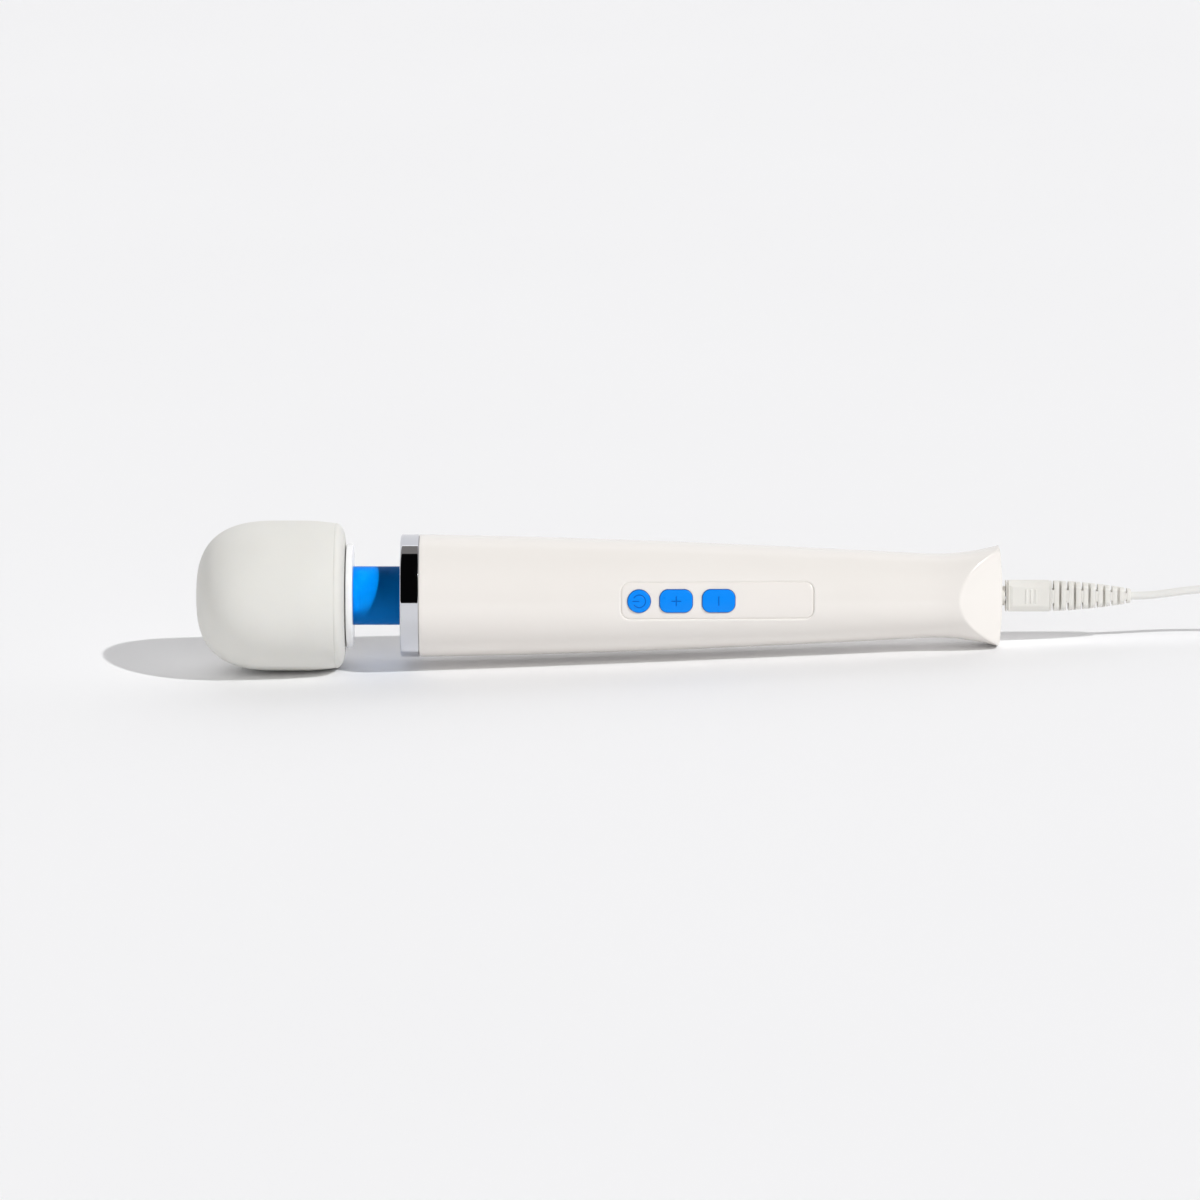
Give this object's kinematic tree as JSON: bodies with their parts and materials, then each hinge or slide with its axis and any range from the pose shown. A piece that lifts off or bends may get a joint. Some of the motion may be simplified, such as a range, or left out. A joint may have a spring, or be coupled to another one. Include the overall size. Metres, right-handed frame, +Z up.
{
  "type": "handheld wand massager",
  "caption": "Long round handheld massager with a soft bulbous head on a flexible neck, a tapered flared handle with a button panel, and a lead plugged into its tail",
  "frame": {"origin": "centre of the wand's bounding box at the table surface, lead and plug not counted", "axes": "+X along the wand from its head to its tail and lead, -Y towards the side with the buttons, +Z up; the wand lies on its head and tail, so its own axis falls 2 degrees towards +X and it is rolled 8 degrees so the buttons look slightly up"},
  "size_m": [0.5887, 0.0801, 0.0605],
  "materials": {
    "soft_silicone_white": "matt, slightly powdery silicone",
    "moulded_white_dull": "moulded, unpolished",
    "plated_screw": "zinc plated",
    "gloss_white": "polished warm white",
    "bearing_steel": "ground",
    "weight_steel": "sintered, dark",
    "brass_parts": "turned brass",
    "blue_silicone": "satin silicone",
    "spring_steel": "drawn wire",
    "black_plastic": "moulded",
    "chrome_trim": "mirror plating",
    "zinc_can": "zinc plated, rolled",
    "bronze_bush": "sintered bronze",
    "ferrite": "sintered ferrite",
    "core_steel": "stacked sheet steel",
    "enamelled_copper": "enamelled wire",
    "copper_bars": "turned copper",
    "carbon": "pressed carbon",
    "black_rubber": "moulded",
    "panel_white": "polished warm white",
    "blue_plastic": "polished blue",
    "switch_cream": "moulded",
    "board_green": "green solder mask",
    "led_clear": "clear resin",
    "inlet_plastic": "moulded",
    "wire_red_black": "wire insulation",
    "lead_white": "satin soft plastic",
    "tie_white": "moulded strap",
    "adapter_white": "moulded white"
  },
  "bodies": {
    "handle": {"front_shell": "gloss_white", "rear_shell": "gloss_white", "shell_screws": "plated_screw", "button_panel": "panel_white", "collar_ring": "chrome_trim", "neck_plate": "gloss_white", "neck_clamp": "black_plastic", "clamp_screws": "plated_screw", "motor_can": "zinc_can", "motor_end_cap": "black_plastic", "motor_bushes": "bronze_bush", "motor_magnets": "ferrite", "motor_brushes": "carbon", "motor_isolators": "black_rubber", "switch_bodies": "black_plastic", "control_board": "board_green", "board_screws": "plated_screw", "indicator_leds": "led_clear", "dc_inlet": "inlet_plastic", "inlet_pin": "brass_parts", "inlet_leads": "wire_red_black", "motor_leads": "wire_red_black", "lead_plug": "lead_white", "plug_barrel": "chrome_trim", "plug_relief": "lead_white", "cord_lead": "lead_white", "cord_coil": "lead_white", "cord_tail": "lead_white", "cord_tie": "tie_white", "adapter_case": "adapter_white", "adapter_face": "adapter_white", "adapter_blades": "brass_parts", "adapter_relief": "lead_white"},
    "neck": {"neck_sleeve": "blue_silicone", "neck_spring": "spring_steel"},
    "head": {"head_cap": "soft_silicone_white", "head_shell": "moulded_white_dull", "head_base": "moulded_white_dull", "head_screws": "plated_screw", "head_trim_plate": "gloss_white", "bearing_outer_rings": "bearing_steel"},
    "armature": {"motor_shaft": "bearing_steel", "armature_core": "core_steel", "armature_windings": "enamelled_copper", "commutator": "copper_bars", "drive_coupling": "weight_steel", "flex_shaft": "spring_steel"},
    "eccentric": {"eccentric_weight": "weight_steel", "eccentric_shaft": "bearing_steel", "shaft_ferrule": "brass_parts", "bearing_inner_rings": "bearing_steel", "bearing_balls": "bearing_steel"},
    "power_key": {"power_button": "blue_plastic", "power_plunger": "switch_cream"},
    "plus_key": {"plus_button": "blue_plastic", "plus_plunger": "switch_cream"},
    "minus_key": {"minus_button": "blue_plastic", "minus_plunger": "switch_cream"}
  },
  "joints": [
    {"name": "neck_sideways", "type": "hinge", "parent": "handle", "child": "neck", "pos_m": [-0.08944, 0, 0.02897], "axis": [0.035, 0.1392, 0.9896], "range_deg": [-12, 12], "stiffness_Nm_per_rad": 6, "deforming": ["neck_sleeve", "neck_spring", "flex_shaft"]},
    {"name": "neck_front_back", "type": "hinge", "parent": "neck", "child": "head", "pos_m": [-0.08944, 0, 0.02897], "axis": [-0.0049, 0.9903, -0.1391], "range_deg": [-12, 12], "stiffness_Nm_per_rad": 6, "deforming": ["neck_sleeve", "neck_spring", "flex_shaft"]},
    {"name": "motor_spin", "type": "hinge", "parent": "handle", "child": "armature", "pos_m": [-0.03563, 0, 0.02707], "axis": [0.9994, 0, -0.0353], "continuous": true},
    {"name": "eccentric_spin", "type": "hinge", "parent": "head", "child": "eccentric", "pos_m": [-0.12957, 0, 0.03039], "axis": [0.9994, 0, -0.0353], "continuous": true},
    {"name": "power_press", "type": "slide", "parent": "handle", "child": "power_key", "axis": [-0.0049, 0.9903, -0.1391], "range_m": [0, 0.0005], "stiffness_N_per_m": 800},
    {"name": "plus_press", "type": "slide", "parent": "handle", "child": "plus_key", "axis": [-0.0049, 0.9903, -0.1391], "range_m": [0, 0.0005], "stiffness_N_per_m": 800},
    {"name": "minus_press", "type": "slide", "parent": "handle", "child": "minus_key", "axis": [-0.0049, 0.9903, -0.1391], "range_m": [0, 0.0005], "stiffness_N_per_m": 800}
  ],
  "couplings": [
    {"joint": "eccentric_spin", "follows": "motor_spin", "ratio": 1}
  ]
}
